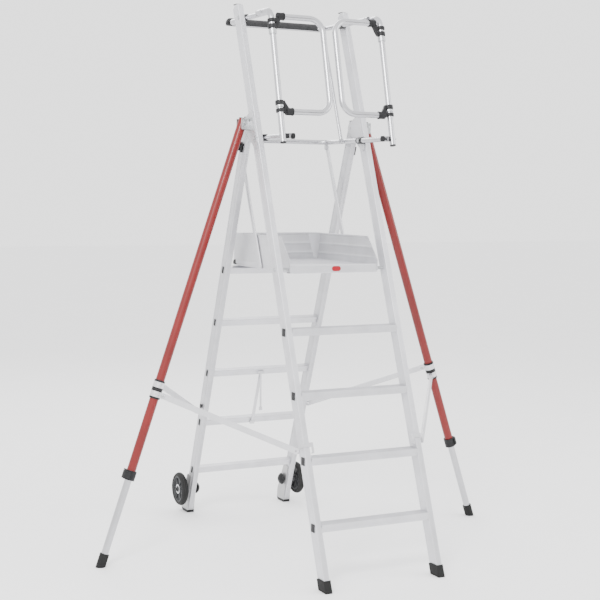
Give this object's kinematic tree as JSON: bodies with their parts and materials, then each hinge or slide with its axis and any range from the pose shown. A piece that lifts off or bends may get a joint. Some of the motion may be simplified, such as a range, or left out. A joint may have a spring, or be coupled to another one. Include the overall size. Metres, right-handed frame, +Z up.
{
  "type": "folding platform step ladder",
  "caption": "Folding aluminium platform step ladder with wheels, foldable guard rails, swing gates, toe boards and red telescopic side outriggers",
  "frame": {"origin": "on the floor, midway between the outermost points", "axes": "+X climber's right, +Y from treads to wheels, +Z up"},
  "size_m": [1.9384, 1.5168, 2.372],
  "materials": {
    "aluminium": "satin mill finish",
    "zinc_steel": "zinc plated",
    "red_paint": "satin powder coat",
    "black_plastic": "moulded satin",
    "wheel_plastic": "moulded satin",
    "rubber": "matte",
    "tyre_rubber": "matte",
    "foam": "closed-cell foam"
  },
  "bodies": {
    "front_frame": {"left_stringer": "aluminium", "right_stringer": "aluminium", "treads": "aluminium", "front_feet": "rubber", "front_plugs": "black_plastic", "left_post": "aluminium", "right_post": "aluminium", "hinge_plates": "aluminium", "pivot_bolts": "zinc_steel", "brace_hooks": "aluminium", "leg_brackets": "zinc_steel"},
    "rear_frame": {"left_rear_rail": "aluminium", "right_rear_rail": "aluminium", "rear_rungs": "aluminium", "rear_plugs": "black_plastic", "rear_shoes": "black_plastic", "brace_clips": "black_plastic", "axle_knobs": "black_plastic"},
    "left_wheel_set": {"left_wheel": "wheel_plastic", "left_tyre": "tyre_rubber"},
    "right_wheel_set": {"right_wheel": "wheel_plastic", "right_tyre": "tyre_rubber"},
    "latch": {"transport_latch": "aluminium"},
    "platform": {"platform_deck": "aluminium", "toe_boards": "aluminium", "front_nosing": "aluminium", "latch_arms": "aluminium", "deck_hooks": "black_plastic"},
    "upper_rail_set": {"upper_rail": "aluminium", "foam_sleeve": "foam", "upper_saddles": "black_plastic"},
    "knee_rail_set": {"knee_rail": "aluminium", "knee_saddles": "black_plastic"},
    "gate_frame": {"gate_posts": "aluminium", "gate_post_caps": "black_plastic", "stop_collars": "zinc_steel"},
    "link": {"link_tube": "aluminium"},
    "strut_pair": {"struts": "aluminium"},
    "left_knob_set": {"left_knob": "black_plastic"},
    "right_knob_set": {"right_knob": "black_plastic"},
    "left_gate_set": {"left_gate": "aluminium", "left_gate_brackets": "black_plastic"},
    "right_gate_set": {"right_gate": "aluminium", "right_gate_brackets": "black_plastic"},
    "left_leg": {"left_leg_tube": "red_paint", "left_leg_fittings": "black_plastic", "left_collars": "aluminium"},
    "right_leg": {"right_leg_tube": "red_paint", "right_leg_fittings": "black_plastic", "right_collars": "aluminium"},
    "left_lever_set": {"left_lever": "black_plastic"},
    "right_lever_set": {"right_lever": "black_plastic"},
    "left_inner": {"left_inner_leg": "aluminium", "left_leg_foot": "rubber"},
    "right_inner": {"right_inner_leg": "aluminium", "right_leg_foot": "rubber"},
    "left_front_brace_set": {"left_front_brace": "aluminium"},
    "left_rear_brace_set": {"left_rear_brace": "aluminium"},
    "right_front_brace_set": {"right_front_brace": "aluminium"},
    "right_rear_brace_set": {"right_rear_brace": "aluminium"}
  },
  "joints": [
    {"name": "rear_fold", "type": "hinge", "parent": "front_frame", "child": "rear_frame", "pos_m": [0, 0.0291, 1.845], "axis": [-1, 0, 0], "range_deg": [0, 37]},
    {"name": "platform_fold", "type": "hinge", "parent": "front_frame", "child": "platform", "pos_m": [0, -0.27016, 1.236], "axis": [1, 0, 0], "range_deg": [0, 68.5]},
    {"name": "knee_rail_fold", "type": "hinge", "parent": "front_frame", "child": "knee_rail_set", "pos_m": [0, -0.08264, 1.787], "axis": [1, 0, 0], "range_deg": [0, 34.5]},
    {"name": "upper_rail_fold", "type": "hinge", "parent": "front_frame", "child": "upper_rail_set", "pos_m": [0, 0.10962, 2.309], "axis": [1, 0, 0], "range_deg": [0, 34.5]},
    {"name": "gate_frame_fold", "type": "hinge", "parent": "upper_rail_set", "child": "gate_frame", "pos_m": [0, -0.11838, 2.309], "axis": [1, 0, 0], "range_deg": [-34.5, 0]},
    {"name": "link_fold", "type": "hinge", "parent": "upper_rail_set", "child": "link", "pos_m": [0, 0.24962, 2.309], "axis": [1, 0, 0], "range_deg": [-34.5, 0]},
    {"name": "strut_fold", "type": "hinge", "parent": "knee_rail_set", "child": "strut_pair", "pos_m": [0, 0.20162, 1.762], "axis": [1, 0, 0], "range_deg": [-51, 0]},
    {"name": "left_knob_turn", "type": "hinge", "parent": "gate_frame", "child": "left_knob_set", "pos_m": [-0.23, -0.31064, 1.787], "axis": [-1, 0, 0], "range_deg": [0, 720]},
    {"name": "right_knob_turn", "type": "hinge", "parent": "gate_frame", "child": "right_knob_set", "pos_m": [0.23, -0.31064, 1.787], "axis": [1, 0, 0], "range_deg": [0, 720]},
    {"name": "left_gate_swing", "type": "hinge", "parent": "gate_frame", "child": "left_gate_set", "pos_m": [-0.26, -0.21276, 2.2], "axis": [0, -0.2306, -0.973], "range_deg": [-75, 0], "stiffness_Nm_per_rad": 0.6, "springref_deg": 34.38},
    {"name": "right_gate_swing", "type": "hinge", "parent": "gate_frame", "child": "right_gate_set", "pos_m": [0.26, -0.21276, 2.2], "axis": [0, 0.2306, 0.973], "range_deg": [-75, 0], "stiffness_Nm_per_rad": 0.6, "springref_deg": 34.38},
    {"name": "left_wheel_spin", "type": "hinge", "parent": "rear_frame", "child": "left_wheel_set", "pos_m": [-0.314, 0.67842, 0.12], "axis": [1, 0, 0], "continuous": true},
    {"name": "right_wheel_spin", "type": "hinge", "parent": "rear_frame", "child": "right_wheel_set", "pos_m": [0.314, 0.67842, 0.12], "axis": [1, 0, 0], "continuous": true},
    {"name": "transport_latch_swing", "type": "hinge", "parent": "rear_frame", "child": "latch", "pos_m": [-0.006, 0.42631, 0.70574], "axis": [-1, 0, 0], "range_deg": [0, 50]},
    {"name": "left_leg_swing", "type": "hinge", "parent": "front_frame", "child": "left_leg", "pos_m": [-0.302, -0.00038, 1.85], "axis": [0.0464, -0.9989, 0], "range_deg": [0, 16]},
    {"name": "left_leg_slide", "type": "slide", "parent": "left_leg", "child": "left_inner", "axis": [0.3296, 0.0153, 0.944], "range_m": [0, 0.3]},
    {"name": "left_lever_flip", "type": "hinge", "parent": "left_leg", "child": "left_lever_set", "pos_m": [-0.83366, 0.00224, 0.3788], "axis": [-0.3296, -0.0153, -0.944], "range_deg": [0, 100]},
    {"name": "left_front_brace_fold", "type": "hinge", "parent": "left_leg", "child": "left_front_brace_set", "pos_m": [-0.67848, -0.04613, 0.70041], "axis": [0.7106, 0.6542, -0.2588], "range_deg": [0, 72.5]},
    {"name": "left_rear_brace_fold", "type": "hinge", "parent": "left_leg", "child": "left_rear_brace_set", "pos_m": [-0.66611, 0.00941, 0.73756], "axis": [-0.7299, 0.6383, 0.2445], "range_deg": [0, 72.5]},
    {"name": "right_leg_swing", "type": "hinge", "parent": "front_frame", "child": "right_leg", "pos_m": [0.302, -0.00038, 1.85], "axis": [-0.0894, 0.996, 0], "range_deg": [0, 16]},
    {"name": "right_leg_slide", "type": "slide", "parent": "right_leg", "child": "right_inner", "axis": [-0.3295, -0.0296, 0.9437], "range_m": [0, 0.3]},
    {"name": "right_lever_flip", "type": "hinge", "parent": "right_leg", "child": "right_lever_set", "pos_m": [0.82974, 0.07439, 0.37929], "axis": [-0.3295, -0.0296, 0.9437], "range_deg": [0, 100]},
    {"name": "right_front_brace_fold", "type": "hinge", "parent": "right_leg", "child": "right_front_brace_set", "pos_m": [0.6801, 0.00704, 0.70005], "axis": [0.7504, -0.6149, 0.2427], "range_deg": [0, 72.5]},
    {"name": "right_rear_brace_fold", "type": "hinge", "parent": "right_leg", "child": "right_rear_brace_set", "pos_m": [0.66418, 0.06062, 0.73856], "axis": [-0.6858, -0.6794, -0.2608], "range_deg": [0, 72.5]}
  ],
  "couplings": [
    {"joint": "platform_fold", "follows": "rear_fold", "ratio": 1.842},
    {"joint": "knee_rail_fold", "follows": "rear_fold", "ratio": 0.921},
    {"joint": "upper_rail_fold", "follows": "rear_fold", "ratio": 0.921},
    {"joint": "gate_frame_fold", "follows": "rear_fold", "ratio": -0.921},
    {"joint": "link_fold", "follows": "rear_fold", "ratio": -0.921},
    {"joint": "strut_fold", "follows": "rear_fold", "ratio": -1.326},
    {"joint": "left_front_brace_fold", "follows": "left_leg_swing", "ratio": 4.5},
    {"joint": "left_rear_brace_fold", "follows": "left_leg_swing", "ratio": 4.5},
    {"joint": "right_front_brace_fold", "follows": "right_leg_swing", "ratio": 4.5},
    {"joint": "right_rear_brace_fold", "follows": "right_leg_swing", "ratio": 4.5}
  ]
}
